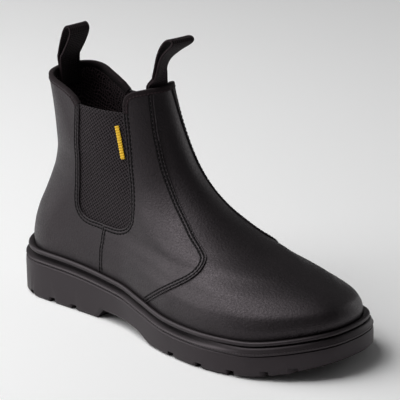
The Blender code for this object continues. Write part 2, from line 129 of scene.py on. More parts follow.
def sole_outline(angle):
    """Plan of the sole: x = length (1 - cos angle) / 2, and y from the half width."""
    x = SOLE_LENGTH * (1 - np.cos(angle)) / 2
    outer = np.sin(angle) >= 0
    width = half_width(x, outer) * round_end(x / HEEL_ROUND, 2)
    width = width * round_end((SOLE_LENGTH - x) / TOE_ROUND, TOE_POWER)
    return np.stack([x, np.where(outer, -width, width)], -1)


def fade(share):
    """1 - share, which runs into 0 by a parabola between 0.8 and 1.2 instead of a corner."""
    return np.where(share < 0.8, 1 - share, np.clip(1.2 - share, 0, 0.4) ** 2 / 0.8)


def last_point(turn, level):
    """A ring is two rounded ends; its ends' places and its widths are curves of the level."""
    ring = {name: curve(level, RINGS["level"], RINGS[name]) for name in list(RINGS)[1:]}
    angle = 2 * np.pi * turn
    share = (1 - np.cos(angle)) / 2
    length = ring["front_x"] - ring["back_x"]
    x = ring["back_x"] + length * share
    flat = np.interp(x, [0, SOLE_LENGTH], BEAD["z"][[0, -1]])
    z = ring["back_z"] + (ring["front_z"] - ring["back_z"]) * share
    z = z + (bead_height(x) - flat) * fade(level / 5) * ring["foot"]
    outer = np.sin(angle) >= 0
    drawn_in = 1 - curve(level, PINCH["level"], PINCH["share"]) * np.sin(np.pi * share) ** 1.5
    full = ring["foot"] * (half_width(x, outer) - UPPER_INSET)
    full = full + (1 - ring["foot"]) * SHAFT_HALF_WIDTH
    ease = share * share * (3 - 2 * share)
    full = full * (ring["back_width"] + (ring["front_width"] - ring["back_width"]) * ease)
    back = round_end(share * length / np.minimum(ring["back_round"], length / 2), 2)
    power = SHAFT_POWER + (FOOT_POWER - SHAFT_POWER) * fade(level / 5)
    front = round_end((1 - share) * length / np.minimum(ring["front_round"], 0.6 * length), power)
    return np.stack([x, np.where(outer, -1, drawn_in) * full * back * front, z], -1)


def length_along(line):
    """Distance from the start of a line to each of its points."""
    return np.concatenate([[0], np.cumsum(np.linalg.norm(np.diff(line, axis=0), axis=1))])


def unit(vectors):
    """Each vector divided by its length."""
    return vectors / np.linalg.norm(vectors, axis=-1, keepdims=True)


def last_normal(turn, level, step=0.002):
    """Cross product of the two slopes of last_point, taken over a small step."""
    around = last_point(turn + step, level) - last_point(turn - step, level)
    rise = last_point(turn, level + step) - last_point(turn, level - step)
    return unit(np.cross(around, rise))


def on_last(turn, level, out=0.0):
    """last_point moved out along its normal, with the creases of a worn-in boot added."""
    turn, level = np.broadcast_arrays(np.asarray(turn, float), np.asarray(level, float))
    base = last_point(turn, level)
    lift = np.asarray(out, float) + creases(base)
    return base + lift[..., None] * last_normal(turn, level)


# %% [markdown]
# Leather that has been lasted and tried on has a few soft troughs: where the foot flexes above the
# quarter's rounded corner, and round the ankle. Each lies along a line seen from the side, listed
# below, and has a bell-shaped section.

# %% Creases
SOFTNESS = 0.4  # share of the depths below that the leather takes
CREASE_ENDS = (0.15, 0.85)
CREASES = [
    # start x, z, end x, z, width, depth, side (-1 outer, 1 inner, 0 both)
    (136, 96, 158, 76, 11.0, -0.20, 0),
    (160, 58, 186, 48, 7.0, 0.15, 0),
    (96, 52, 128, 44, 9.0, -0.20, 0),
    (60, 86, 66, 54, 10.0, -0.25, -1),
    (62, 120, 62, 92, 9.0, -0.25, 0),
    (38, 100, 60, 84, 8.0, -0.25, 0),
    (132, 120, 126, 146, 7.0, -0.25, 0),
    (196, 84, 214, 60, 8.0, -0.20, 0),
]


def to_segment(points, a, b, ends=(0, 1)):
    """Distance from points to the part of the segment from a to b between two shares of it."""
    along = b - a
    t = np.clip((points - a) @ along / (along @ along + 1e-12), *ends)
    return np.linalg.norm(points - a - t[..., None] * along, axis=-1)


def creases(points):
    """Sum of softness * depth * exp(-(distance to the line / width)^2) over the lines."""
    total = np.zeros(points.shape[:-1])
    for ax, az, bx, bz, width, depth, side in CREASES:
        far = to_segment(points[..., [0, 2]], np.array([ax, az]), np.array([bx, bz]), CREASE_ENDS)
        trough = SOFTNESS * depth * np.exp(-(far / width) ** 2)
        total += np.where(side * points[..., 1] >= 0, trough, 0)
    return total


print("leather's face at the ball", on_last(0.3, 2.0).round(1))


# %% [markdown]
# A grid of rows becomes a mesh of quads, and what lies beyond a line is cut off exactly along it,
# the way a clicker knife cuts a panel: a cell that the line crosses is divided there. Each mesh can
# carry named numbers that its material reads.

# %% Meshes from arrays
PLAN_RING = sole_outline(np.linspace(0, 2 * np.pi, 2881))
MIDDLE = np.append((PLAN_RING.max(axis=0) + PLAN_RING.min(axis=0)) / 2, 0)
FAR_FROM_EDGE = 50.0  # the "edge" number of what has no sewn edge nearby


def to_frame(points):
    """Millimetres in the shoe's frame to metres in the shared one."""
    return (np.asarray(points, float) - MIDDLE) * MM


def in_scene(name, data):
    """A new object of the scene."""
    made = bpy.data.objects.new(name, data)
    bpy.context.scene.collection.objects.link(made)
    return made


def piece(name, points, faces, material, numbers=None, smooth=60):
    """A mesh object from points in millimetres; numbers are values per point for the material."""
    mesh = bpy.data.meshes.new(name)
    mesh.from_pydata(to_frame(points).tolist(), [], faces)
    for word, values in (numbers or {}).items():
        kind = "FLOAT" if np.ndim(values) == 1 else "FLOAT_VECTOR"
        layer = mesh.attributes.new(word, kind, "POINT")
        layer.data.foreach_set("value" if kind == "FLOAT" else "vector", np.ravel(values))
    mesh.shade_smooth()
    mesh.set_sharp_from_angle(angle=math.radians(smooth))
    mesh.materials.append(material)
    return in_scene(name, mesh)


def grid_faces(rows, count, ring=False):
    """Quads between neighbouring rows of points; a ring joins each row's end to its start."""
    r, c = np.meshgrid(np.arange(rows - 1), np.arange(count if ring else count - 1), indexing="ij")
    a, b = r * count + c, r * count + (c + 1) % count
    return np.stack([a, b, b + count, a + count], -1).reshape(-1, 4).tolist()


def cut(values, keep):
    """Cuts a grid of values (rows, count, k) along keep = 0; returns its points and faces.

    On an edge from a to b the line is at a + (b - a) keep_a / (keep_a - keep_b)."""
    rows, count = keep.shape
    flat, keep = values.reshape(rows * count, -1), keep.ravel()
    kept = keep > 0
    quads = np.array(grid_faces(rows, count))
    whole = kept[quads].all(axis=1)
    mixed = quads[kept[quads].any(axis=1) & ~whole]
    triangles = np.concatenate([mixed[:, [0, 1, 2]], mixed[:, [0, 2, 3]]])
    number = kept[triangles].sum(axis=1)
    odd = np.where(number == 1, kept[triangles].argmax(axis=1), (~kept[triangles]).argmax(axis=1))
    a, b, c = (np.take_along_axis(triangles, ((odd + k) % 3)[:, None], 1)[:, 0] for k in range(3))
    one, two = number == 1, number == 2
    split = one | two
    crossed = np.concatenate([np.stack([a, b], -1)[split], np.stack([a, c], -1)[split]])
    pairs, place = np.unique(np.sort(crossed, axis=1), axis=0, return_inverse=True)
    ab, ac = np.zeros(len(triangles), int), np.zeros(len(triangles), int)
    ab[split], ac[split] = (place.ravel() + len(flat)).reshape(2, -1)
    share = (keep[pairs[:, 0]] / (keep[pairs[:, 0]] - keep[pairs[:, 1]]))[:, None]
    fresh = flat[pairs[:, 0]] * (1 - share) + flat[pairs[:, 1]] * share
    faces = quads[whole].tolist() + triangles[number == 3].tolist()
    faces += np.stack([a, ab, ac], -1)[one].tolist()
    faces += np.stack([ab, b, c, ac], -1)[two].tolist()
    flat = np.concatenate([flat, fresh])
    used, place = np.unique(np.concatenate([np.ravel(f) for f in faces]), return_inverse=True)
    ends = np.cumsum([len(f) for f in faces])[:-1]
    return flat[used], [list(map(int, f)) for f in np.split(place.ravel(), ends)]


def inside(points, outline):
    """Signed distance in the side view to a closed outline, positive inside."""
    outline = np.asarray(outline, float)
    flat = points[..., [0, -1]]
    x, z = flat[..., 0], flat[..., 1]
    far, odd = np.full(x.shape, 1e9), np.zeros(x.shape, bool)
    for a, b in zip(outline, np.roll(outline, -1, axis=0)):
        far = np.minimum(far, to_segment(flat, a, b))
        dx, dz = b - a
        odd ^= ((a[1] > z) != (b[1] > z)) & (x < a[0] + dx * (z - a[1]) / (dz if dz else 1e-12))
    return np.where(odd, far, -far)


# %% [markdown]
# The panels' lines are drawn from the side: the quarter's front edge, the rounded gore opening and
# the collar's line. A place in the side view becomes a turn and a level by Newton's method.

# %% Lines of the panels
QUARTER_ROWS = [(127.0, 180), (129.0, 166), (132.5, 151), (138.0, 133), (147.0, 113), (161.0, 95),
                (179.0, 80), (193.5, 71.2), (200.5, 66.5), (202.0, 61.0), (196.5, 54.0),
                (181.0, 44.0), (154.5, 26.5), (148.0, 21.0)]
QUARTER_BACK = [(-20, 15), (-20, 190)]
GORE_ROWS = [(75.5, 150.0, 0), (74.0, 69.0, 16), (131.0, 66.5, 17), (115.5, 150.0, 0)]
TOPLINE_BACK = [(15, 165.0), (34, 163.8), (50, 161.5), (62, 158.0), (70, 154.5)]
TOPLINE_FRONT = [(115.0, 157.0), (116.2, 161.5), (120.0, 164.5), (128.0, 166.5), (150.0, 167.5)]
ABOVE_COLLAR = [(150.0, 230.0), (15.0, 230.0)]
OVERLAY_TAPER = 0.6  # levels over which a panel's height fades into the feather edge


def smooth_line(rows, steps):
    """Catmull-Rom line through the rows."""
    rows = np.array(rows, float)
    ends = np.concatenate([[2 * rows[0] - rows[1]], rows, [2 * rows[-1] - rows[-2]]])
    a, b, c, d = (ends[k:len(ends) - 3 + k, None] for k in range(4))
    t = (np.arange(steps) / steps)[None, :, None]
    line = 0.5 * (2 * b + (c - a) * t + (2 * a - 5 * b + 4 * c - d) * t * t
                  + (3 * b - a - 3 * c + d) * t ** 3)
    return np.concatenate([line.reshape(-1, rows.shape[1]), rows[-1:]])


def rounded(rows, steps):
    """Outline with rounded corners: each is a parabola between its two tangent points."""
    rows = np.array(rows, float)
    corner, radius = rows[:, :2], rows[:, 2]
    points = []
    for i, here in enumerate(corner):
        if not radius[i]:
            points.append(here)
            continue
        back, on = unit(corner[i - 1] - here), unit(corner[(i + 1) % len(corner)] - here)
        reach = radius[i] / math.tan(math.acos(np.clip(back @ on, -1, 1)) / 2)
        for t in np.linspace(0, 1, steps):
            points.append((1 - t) ** 2 * (here + back * reach) + 2 * t * (1 - t) * here
                          + t * t * (here + on * reach))
    return np.array(points)


def evenly(line, spacing):
    """The line resampled at equal steps of about the spacing, and the length to each point."""
    length = length_along(line)
    at = np.linspace(0, length[-1], max(2, int(round(length[-1] / spacing)) + 1))
    return np.stack([np.interp(at, length, column) for column in line.T], -1), at


def find(x, z, out=0.0, step=1e-4):
    """Turn (below 0.5) and level of the point of the face that shows at x, z from the side."""
    turns, levels = np.meshgrid(np.linspace(0.03, 0.47, 34), np.linspace(0.1, 9.5, 30))
    tried = last_point(turns, levels)
    gap = np.hypot(tried[..., 0].ravel() - x[:, None], tried[..., 2].ravel() - z[:, None])
    turn, level = turns.ravel()[gap.argmin(axis=1)], levels.ravel()[gap.argmin(axis=1)]
    for _ in range(8):
        here = on_last(turn, level, out)[..., [0, 2]]
        slopes = [(on_last(turn + a, level + b, out)[..., [0, 2]] - here) / step
                  for a, b in ((step, 0), (0, step))]
        miss = np.stack([x, z], -1) - here
        move = np.linalg.solve(np.stack(slopes, -1), miss[..., None])[..., 0]
        turn = np.clip(turn + np.clip(move[:, 0], -0.02, 0.02), 0.003, 0.497)
        level = np.clip(level + np.clip(move[:, 1], -0.4, 0.4), 0, 9.8)
    return turn, level


def seat(line, side, out=0.0):
    """A side-view line laid on one side of the boot: its turns, levels, points, normals."""
    turn, level = find(line[:, 0], line[:, 1], out)
    turn = turn if side < 0 else 1 - turn
    return turn, level, on_last(turn, level, out), last_normal(turn, level)


GORE_RING = rounded(GORE_ROWS, 17)
OPENING = np.concatenate([GORE_RING, TOPLINE_FRONT, ABOVE_COLLAR, TOPLINE_BACK])
SEAM = smooth_line(QUARTER_ROWS, 8)
QUARTER = np.concatenate([SEAM, QUARTER_BACK])
print("panel lines", len(OPENING), len(QUARTER))

# %% [markdown]
# Colours are written as the hex values that a paint chart uses and turned into the linear numbers
# that the renderer works with. One small helper adds a node, sets it and links it. Patterns are
# measured in millimetres.

# %% Helpers for materials
PER_M = 1000.0  # patterns are scaled per millimetre on coordinates in metres
WARM = (1.0, 0.87, 0.94, 1.0)  # this boot's gloss is faintly reddish


def hex_colour(code):
    """sRGB hex to linear: c / 12.92 below 0.04045, else ((c + 0.055) / 1.055)^2.4."""
    parts = [int(code[i:i + 2], 16) / 255 for i in (1, 3, 5)]
    return (*[c / 12.92 if c <= 0.04045 else ((c + 0.055) / 1.055) ** 2.4 for c in parts], 1.0)


def add(material, kind, links=None, **settings):
    """Adds a node; links maps its inputs to a value or to another node's output."""
    node = material.node_tree.nodes.new("ShaderNode" + kind)
    for word, value in settings.items():
        setattr(node, word, value)
    for socket, value in (links or {}).items():
        if isinstance(value, bpy.types.NodeSocket):
            material.node_tree.links.new(value, node.inputs[socket])
        else:
            node.inputs[socket].default_value = value
    return node


def finish_of(name, colour, roughness, **sockets):
    """A new material with its shader's plain values; returns the material and the shader."""
    material = bpy.data.materials.new(name)
    material.use_nodes = True
    shader = material.node_tree.nodes["Principled BSDF"]
    shader.inputs["Base Color"].default_value = hex_colour(colour)
    shader.inputs["Roughness"].default_value = roughness
    for word, value in sockets.items():
        shader.inputs[word.replace("_", " ")].default_value = value
    return material, shader


def link(material, output, shader, socket):
    """Joins an output to one of the shader's sockets."""
    material.node_tree.links.new(output, shader.inputs[socket])


# %% [markdown]
# The leather is black side leather with a corrected, printed grain and a thin pigment coat. That
# gives a fine even grain, a soft broad sheen, and slightly greyer spots where it is rubbed. The
# grain is Voronoi cells, with pores between them. Two troughs run beside each panel's edge, where
# the thread pulls the leather down, and painted shade darkens them to near black. The mesh carries
# the distance to the edge for them.

# %% Leather
LEATHER_ROWS = (1.0, 3.2)  # from the panel's edge to the two rows of stitches
TROUGH_WIDTH = 0.42
GRAIN_CELL = 1.5  # coarser than the real grain of 0.6, which would not show
PORE_CELL = 1.0
RUBBED_SPOT = 22.0
# how much painted shade the seam troughs get, and its near-black colour
TROUGH_SHADE = 0.95
TROUGH_PAINTED_SHADE = "#030303"


def leather(name, colour, worn, roughness):
    """Corrected grain side leather."""
    material, shader = finish_of(name, colour, roughness, Specular_Tint=WARM, Coat_Weight=0.05,
                                 Coat_Roughness=0.45)
    where = add(material, "TexCoord").outputs["Object"]
    cells = add(material, "TexVoronoi", {"Vector": where, "Scale": PER_M / GRAIN_CELL},
                feature="SMOOTH_F1")
    fine = add(material, "TexNoise", {"Vector": where, "Scale": PER_M / PORE_CELL, "Detail": 3.0})
    broad = add(material, "TexNoise", {"Vector": where, "Scale": PER_M / RUBBED_SPOT,
                                       "Detail": 4.0})
    patchy = add(material, "MapRange", {0: broad.outputs["Fac"], 1: 0.35, 2: 0.7, 3: 0.0, 4: 1.0})
    tint = add(material, "Mix", {"Factor": patchy.outputs[0], 6: hex_colour(colour),
                                 7: hex_colour(worn)}, data_type="RGBA")
    gloss = add(material, "MapRange", {0: fine.outputs["Fac"], 1: 0.3, 2: 0.7,
                                       3: roughness - 0.10, 4: roughness + 0.14})
    edge = add(material, "Attribute", attribute_name="edge").outputs["Fac"]
    troughs = None
    for row in LEATHER_ROWS:
        far = add(material, "Math", {0: edge, 1: row}, operation="SUBTRACT")
        near = add(material, "Math", {0: far.outputs[0], 1: TROUGH_WIDTH}, operation="DIVIDE")
        square = add(material, "Math", {0: near.outputs[0], 1: near.outputs[0]},
                     operation="MULTIPLY")
        bell = add(material, "Math", {0: math.e, 1: square.outputs[0]}, operation="POWER")
        dip = add(material, "Math", {0: 1.0, 1: bell.outputs[0]}, operation="DIVIDE")
        troughs = dip if troughs is None else add(
            material, "Math", {0: troughs.outputs[0], 1: dip.outputs[0]}, operation="ADD")
    # painted shade: the troughs are mixed towards near black, and are also made rougher
    painted_trough_shade = add(material, "Math", {0: troughs.outputs[0], 1: TROUGH_SHADE}, operation="MULTIPLY")
    matt = add(material, "Math", {0: painted_trough_shade.outputs[0], 1: 0.5, 2: gloss.outputs[0]},
               operation="MULTIPLY_ADD", use_clamp=True)
    link(material, matt.outputs[0], shader, "Roughness")
    # the leather's colour with the painted shade of the troughs mixed in
    sunk = add(material, "Mix", {"Factor": painted_trough_shade.outputs[0], 6: tint.outputs[2],
                                 7: hex_colour(TROUGH_PAINTED_SHADE)}, data_type="RGBA")
    link(material, sunk.outputs[2], shader, "Base Color")
    grain = add(material, "Bump", {"Height": cells.outputs["Distance"], "Strength": 0.3,
                                   "Distance": 0.4 * MM})
    pores = add(material, "Bump", {"Height": fine.outputs["Fac"], "Strength": 0.25,
                                   "Distance": 0.35 * MM, "Normal": grain.outputs["Normal"]})
    sewn = add(material, "Bump", {"Height": troughs.outputs[0], "Strength": 1.0,
                                  "Distance": 1.2 * MM, "Normal": pores.outputs["Normal"]},
               invert=True)
    link(material, sewn.outputs["Normal"], shader, "Normal")
    return material


SIDE_LEATHER = leather("side leather black", "#0c0a0b", "#161314", 0.5)
print("leather rows", LEATHER_ROWS)

# %% [markdown]
# The other finishes: bonded nylon thread, woven polyester webbing, elastic gore fabric, a brushed
# textile lining, and the moulded polyurethane of the sole. That is matt with a faint mottling, and
# has fine studs where it faces down.

# %% Textiles, thread and sole
WAVES = 0.314  # a wave texture's scale for one band in each unit


def woven(name, colour, second, pitch, roughness, depth, angle=0.0, loose=0.4):
    """Cloth: two wave patterns at right angles, as warp and weft, raise its threads."""
    material, shader = finish_of(name, colour, roughness, Specular_IOR_Level=0.2,
                                 Specular_Tint=WARM, Sheen_Weight=0.03, Sheen_Roughness=0.5)
    where = add(material, "Attribute", attribute_name="cloth").outputs["Vector"]
    turned = add(material, "Mapping", {"Vector": where, "Rotation": (0, 0, math.radians(angle))})
    threads = []
    for direction in ("X", "Y"):
        threads.append(add(material, "TexWave", {"Vector": turned.outputs[0],
                                                 "Scale": WAVES / pitch, "Distortion": loose,
                                                 "Detail": 1.0},
                           bands_direction=direction))
    height = add(material, "Math", {0: threads[0].outputs["Fac"], 1: threads[1].outputs["Fac"]},
                 operation="MAXIMUM")
    crest = add(material, "MapRange", {0: height.outputs[0], 1: 0.7, 2: 1.0, 3: 0.0, 4: 1.0})
    tint = add(material, "Mix", {"Factor": crest.outputs[0], 6: hex_colour(colour),
                                 7: hex_colour(second)}, data_type="RGBA")
    link(material, tint.outputs[2], shader, "Base Color")
    bump = add(material, "Bump", {"Height": height.outputs[0], "Strength": 0.8,
                                  "Distance": depth * MM})
    link(material, bump.outputs["Normal"], shader, "Normal")
    return material


STUD_PITCH = 2.2  # between the fine studs under the lugs
MOTTLE, CLOUD = 0.6, 15.0
# colour of the painted shade in the depth of the sole's channel
CHANNEL_PAINTED_SHADE = "#020202"


def moulded(name, colour, second, roughness):
    """Polyurethane from a spark-eroded mould: a fine mottling, and fine studs underneath.

    The attribute "shade" darkens the depth of the channel, 1 in its middle."""
    material, shader = finish_of(name, colour, roughness, Specular_Tint=WARM)
    where = add(material, "TexCoord").outputs["Object"]
    fine = add(material, "TexNoise", {"Vector": where, "Scale": PER_M / MOTTLE, "Detail": 2.0})
    broad = add(material, "TexNoise", {"Vector": where, "Scale": PER_M / CLOUD, "Detail": 3.0})
    tint = add(material, "Mix", {"Factor": broad.outputs["Fac"], 6: hex_colour(colour),
                                 7: hex_colour(second)}, data_type="RGBA")
    shade = add(material, "Attribute", attribute_name="shade").outputs["Fac"]
    # painted shade: the channel's depth is mixed towards near black, and made rougher
    painted_channel_shade = add(material, "Mix", {"Factor": shade, 6: tint.outputs[2],
                                 7: hex_colour(CHANNEL_PAINTED_SHADE)}, data_type="RGBA")
    link(material, painted_channel_shade.outputs[2], shader, "Base Color")
    dull = add(material, "Math", {0: shade, 1: 0.5, 2: roughness}, operation="MULTIPLY_ADD")
    link(material, dull.outputs[0], shader, "Roughness")
    bump = add(material, "Bump", {"Height": fine.outputs["Fac"], "Strength": 0.25,
                                  "Distance": 0.2 * MM})
    facing = add(material, "NewGeometry").outputs["Normal"]
    down = add(material, "SeparateXYZ", {0: facing}).outputs["Z"]
    under = add(material, "MapRange", {0: down, 1: -0.7, 2: -0.95, 3: 0.0, 4: 1.0})
    dots = add(material, "TexVoronoi", {"Vector": where, "Scale": PER_M / STUD_PITCH,
                                        "Randomness": 0.15}, voronoi_dimensions="2D")
    raised = add(material, "MapRange", {0: dots.outputs["Distance"], 1: 0.45, 2: 0.2, 3: 0.0,
                                        4: 1.0})
    relief = add(material, "Math", {0: raised.outputs[0], 1: under.outputs[0]},
                 operation="MULTIPLY")
    tread = add(material, "Bump", {"Height": relief.outputs[0], "Strength": 0.7,
                                   "Distance": 0.6 * MM, "Normal": bump.outputs["Normal"]})
    link(material, tread.outputs["Normal"], shader, "Normal")
    return material


WEBBING = woven("polyester webbing", "#060405", "#241a1d", 1.7, 0.9, 1.0)
ELASTIC = woven("elastic gore", "#030303", "#3a3437", 2.0, 0.8, 0.8, 52)
BINDING = woven("collar binding", "#0e0b0c", "#2c2325", 1.0, 0.85, 0.2)
LINING = woven("brushed lining", "#0a0809", "#4a3d41", 2.4, 0.95, 0.8, 20, 7.0)
INSOLE = woven("insole cloth", "#0c0b0c", "#1a1819", 1.5, 0.95, 0.3)
MIDSOLE_PU = moulded("moulded sole", "#171415", "#1e1b1c", 0.5)
TREAD_PU = moulded("moulded tread", "#191617", "#1f1b1d", 0.55)
THREAD = finish_of("bonded nylon thread", "#040304", 0.8, Specular_IOR_Level=0.2)[0]
TAPE_THREAD = finish_of("tape thread", "#33282b", 0.8, Specular_IOR_Level=0.2)[0]

# %% [markdown]
# The vamp is the big front panel. It runs under the quarters and up to the collar as a narrow
# tongue. Its grid ends a little behind the quarters' edge, where the overlap hides it.

# %% Vamp
UNDERLAP = 6.0
VAMP_THICK = 2.0


def panel(name, turns, levels, out, keep, thick, material, numbers):
    """A panel of the upper, cut from a grid (start, end, count) of turns and one of levels."""
    turn, level = np.meshgrid(np.linspace(*turns), np.linspace(*levels))
    points = on_last(turn, level, out(turn, level))
    flat, faces = cut(np.stack([turn, level], -1), keep(points))
    points = on_last(flat[:, 0], flat[:, 1], out(flat[:, 0], flat[:, 1]))
    made = piece(name, points, faces, material, numbers(points))
    wall = made.modifiers.new("wall", "SOLIDIFY")
    wall.thickness, wall.offset = thick * MM, -1
    print(name, len(points), "points,", len(faces), "faces")
    return made


def far_from(points, line):
    """Shortest distance from each point to a line of points in space."""
    return np.min([to_segment(points, a, b) for a, b in zip(line, line[1:])], axis=0)


def height_above(height):
    """A height above the last's face, which fades out into the feather edge."""
    return lambda turn, level: height * np.clip(level / OVERLAY_TAPER, 0, 1)


def vamp_keep(points):
    """In front of the quarters' edge, with the underlap, and below the collar's line."""
    return np.minimum(UNDERLAP - inside(points, QUARTER), -inside(points, OPENING))


vamp = panel("vamp", (0.22, 0.78, 261), (0, 9.5, 141), height_above(0), vamp_keep, VAMP_THICK,
             SIDE_LEATHER, lambda points: {"edge": np.full(len(points), FAR_FROM_EDGE)})

# %% [markdown]
# Two quarters lie on the vamp as a step, one on each side, and on the counter, which wraps the
# heel. A quarter meets the counter in an upright seam under the gore. The edges are turned, so a
# thin roll runs along them, with two rows of stitches beside it.

# %% Quarters and counter
COUNTER = 0.6  # the counter's height above the last, less than the quarters'
HEEL_SEAM = ((100.6, 67.8), (99.4, 31.0))
HIDDEN = 5.0  # how far the counter runs on under the quarters
QUARTER_THICK, COUNTER_THICK = 2.9, 2.5
ROLL = 0.42  # radius of a turned edge
ROLL_LIFT = 0.05


def past_heel_seam(points):
    """Distance in front of the upright seam, seen from the side."""
    (ax, az), (bx, bz) = HEEL_SEAM
    return points[..., 0] - (bx + (ax - bx) * (points[..., -1] - bz) / (az - bz))


def side_keep(way, extra):
    """Behind the quarters' front edge, outside the openings, on one side of the upright seam."""
    return lambda points: np.minimum.reduce([inside(points, QUARTER), -inside(points, OPENING),
                                             way * past_heel_seam(points) + extra])


quarter_keep, counter_keep = side_keep(1, 0.0), side_keep(-1, HIDDEN)
heel_top = np.array(HEEL_SEAM[0])
low = GORE_RING[:, 1] < 149
back_part = np.concatenate([[TOPLINE_BACK[-1]], GORE_RING[:1],
                            GORE_RING[low & (GORE_RING[:, 0] < heel_top[0])], [heel_top]])
front_part = np.concatenate([[heel_top], GORE_RING[low & (GORE_RING[:, 0] > heel_top[0])],
                             GORE_RING[-1:], TOPLINE_FRONT[:1]])
shown = (SEAM[:, 1] < 167) & (SEAM[:, 1] > bead_height(SEAM[:, 0]) - 1)
EDGE_LINES = {
    # name: line, height of the panel that it bounds, the panel's keep
    "seam": (SEAM[shown], OVERLAY, quarter_keep),
    "gore_front": (front_part, OVERLAY, quarter_keep),
    "heel": (np.array(HEEL_SEAM), OVERLAY, quarter_keep),
    "gore_back": (back_part, COUNTER, counter_keep),
}
edges = []
for side in (-1, 1):
    for name, (line, height, keep) in EDGE_LINES.items():
        edges.append((name, side, height, keep, seat(evenly(line, 1.5)[0], side, height)))


def edge_distance(names, sides):
    """Distance to the nearest of these sewn edges, for the two troughs beside it."""
    lines = [seated[2] for name, side, _, _, seated in edges if name in names and side in sides]
    return lambda points: {"edge": np.min([far_from(points, line) for line in lines], axis=0)}


quarters = []
for side, word, turns in ((-1, "outer", (0.06, 0.497, 181)), (1, "inner", (0.503, 0.94, 181))):
    quarters.append(panel("quarter_" + word, turns, (0.06, 9.5, 141), height_above(OVERLAY),
                          quarter_keep, QUARTER_THICK, SIDE_LEATHER,
                          edge_distance(("seam", "gore_front", "heel"), (side,))))
counter = panel("counter", (-0.27, 0.27, 221), (0.06, 9.5, 141), height_above(COUNTER),
                counter_keep, COUNTER_THICK, SIDE_LEATHER,
                edge_distance(("gore_back",), (-1, 1)))

# %% [markdown]
# A turned edge or a binding is a small section carried along a path. At each point of the path the
# section stands on the leather: one of its directions is the leather's normal.

# %% Sections along a path


def sweep(name, path, normal, section, material, closed=False):
    """Carries a closed section (across, up) along a path; up is the leather's normal."""
    chords = np.roll(path, -1, axis=0) - np.roll(path, 1, axis=0)
    along = unit(chords if closed else np.gradient(path, axis=0))
    across = unit(np.cross(along, normal))
    up = unit(np.cross(across, along))
    section = np.asarray(section, float)
    points = (path[:, None] + section[None, :, :1] * across[:, None]
              + section[None, :, 1:] * up[:, None])
    rows, count = points.shape[:2]
    faces = grid_faces(rows, count, ring=True)
    if closed:
        last = (rows - 1) * count
        faces += [[last + i, last + (i + 1) % count, (i + 1) % count, i] for i in range(count)]
    else:
        faces += [list(range(count))[::-1], [(rows - 1) * count + i for i in range(count)]]
    made = piece(name, points.reshape(-1, 3), faces, material,
                 {"cloth": cloth_grid(length_along(path), length_along(section)),
                  "edge": np.full(rows * count, FAR_FROM_EDGE)})
    reshape(made.data, bmesh.ops.recalc_face_normals, "faces")
    return made


def cloth_grid(along, across):
    """Cloth coordinates of a strip's points, from its two lengths."""
    return np.stack(np.broadcast_arrays(along[:, None], across[None, :], 0.0), -1).reshape(-1, 3)


def reshape(mesh, change, kind, **settings):
    """One bmesh operation on all the mesh's faces or verts."""
    shape = bmesh.new()
    shape.from_mesh(mesh)
    change(shape, **{kind: getattr(shape, kind)}, **settings)
    shape.to_mesh(mesh)
    shape.free()


def oval(wide, high, count=8):
    """Ellipse of count points: (wide cos t, high sin t)."""
    t = 2 * np.pi * np.arange(count) / count
    return np.stack([wide * np.cos(t), high * np.sin(t)], -1)


def join(name, parts):
    """Several meshes made one object."""
    with bpy.context.temp_override(active_object=parts[0], selected_editable_objects=parts):
        bpy.ops.object.join()
    parts[0].name = name
    parts[0].data.name = name
    return parts[0]


rolls = []
for _, _, height, _, (turn, level, _, normal) in edges:
    path = on_last(turn, level, height - ROLL + ROLL_LIFT)
    rolls.append(sweep("roll", path, normal, oval(ROLL, ROLL), SIDE_LEATHER))
turned_edges = join("turned_edges", rolls)
print("turned edges", len(rolls))

# %% [markdown]
# A lockstitch shows as short rods of thread, each sunk at its ends. One rod is worked out once, and
# the array of all its copies is turned along the seams in one step.

# %% Stitches
STITCH_PITCH = 3.0
STITCH = (2.2, 0.85, 0.6)  # length, width, height
STITCH_LIFT = 0.1
STITCH_SAG = 0.2 / 1.3  # its ends dip by this times the square of the way along it
ROD_RINGS, ROD_SIDES = 5, 6


def rod():
    """Points (along, across, up) and faces of one stitch: a rod that thins to its two ends."""
    t = np.linspace(-1, 1, ROD_RINGS)
    slim = np.sqrt(1 - 0.75 * t ** 2)[:, None]
    around = slim[..., None] * oval(STITCH[1] / 2, STITCH[2] / 2, ROD_SIDES)
    along = np.repeat(t * STITCH[0] / 2, ROD_SIDES)
    across, up = around.reshape(-1, 2).T
    up = up - STITCH_SAG * along ** 2
    faces = grid_faces(ROD_RINGS, ROD_SIDES, ring=True)
    faces += [list(range(ROD_SIDES))[::-1], [(ROD_RINGS - 1) * ROD_SIDES + i
                                             for i in range(ROD_SIDES)]]
    return np.stack([along, across, up], -1), faces


def stitch_row(path, normal, pitch=STITCH_PITCH):
    """Rods at every pitch of a path, as one array of points and a list of faces."""
    both, _ = evenly(np.concatenate([path, normal], axis=1), pitch)
    place = (both[1:] + both[:-1]) / 2
    along = unit(both[1:, :3] - both[:-1, :3])
    up = unit(place[:, 3:])
    across = unit(np.cross(up, along))
    shape, faces = rod()
    basis = np.stack([along, across, up], 1)
    points = place[:, None, :3] + np.einsum("pk,nkj->npj", shape, basis)
    first = np.arange(len(place)) * len(shape)
    return points.reshape(-1, 3), [[i + int(f) for i in face] for f in first for face in faces]


def beside(seated, away, height, side):
    """The seam's line moved along the leather by a distance, and put back on its face."""
    _, _, points, normal = seated
    along = unit(np.gradient(points, axis=0))
    moved = points + np.cross(normal, along) * away
    turn, level, _, normal = seat(moved[:, [0, 2]], side, height)
    return on_last(turn, level, height + STITCH_LIFT), normal


def gather(name, rows, material):
    """All rows of stitches as one piece."""
    points, faces, first = [], [], 0
    for row_points, row_faces in rows:
        points.append(row_points)
        faces += [[i + first for i in face] for face in row_faces]
        first += len(row_points)
    print(name, len(faces), "faces")
    return piece(name, np.concatenate(points), faces, material)


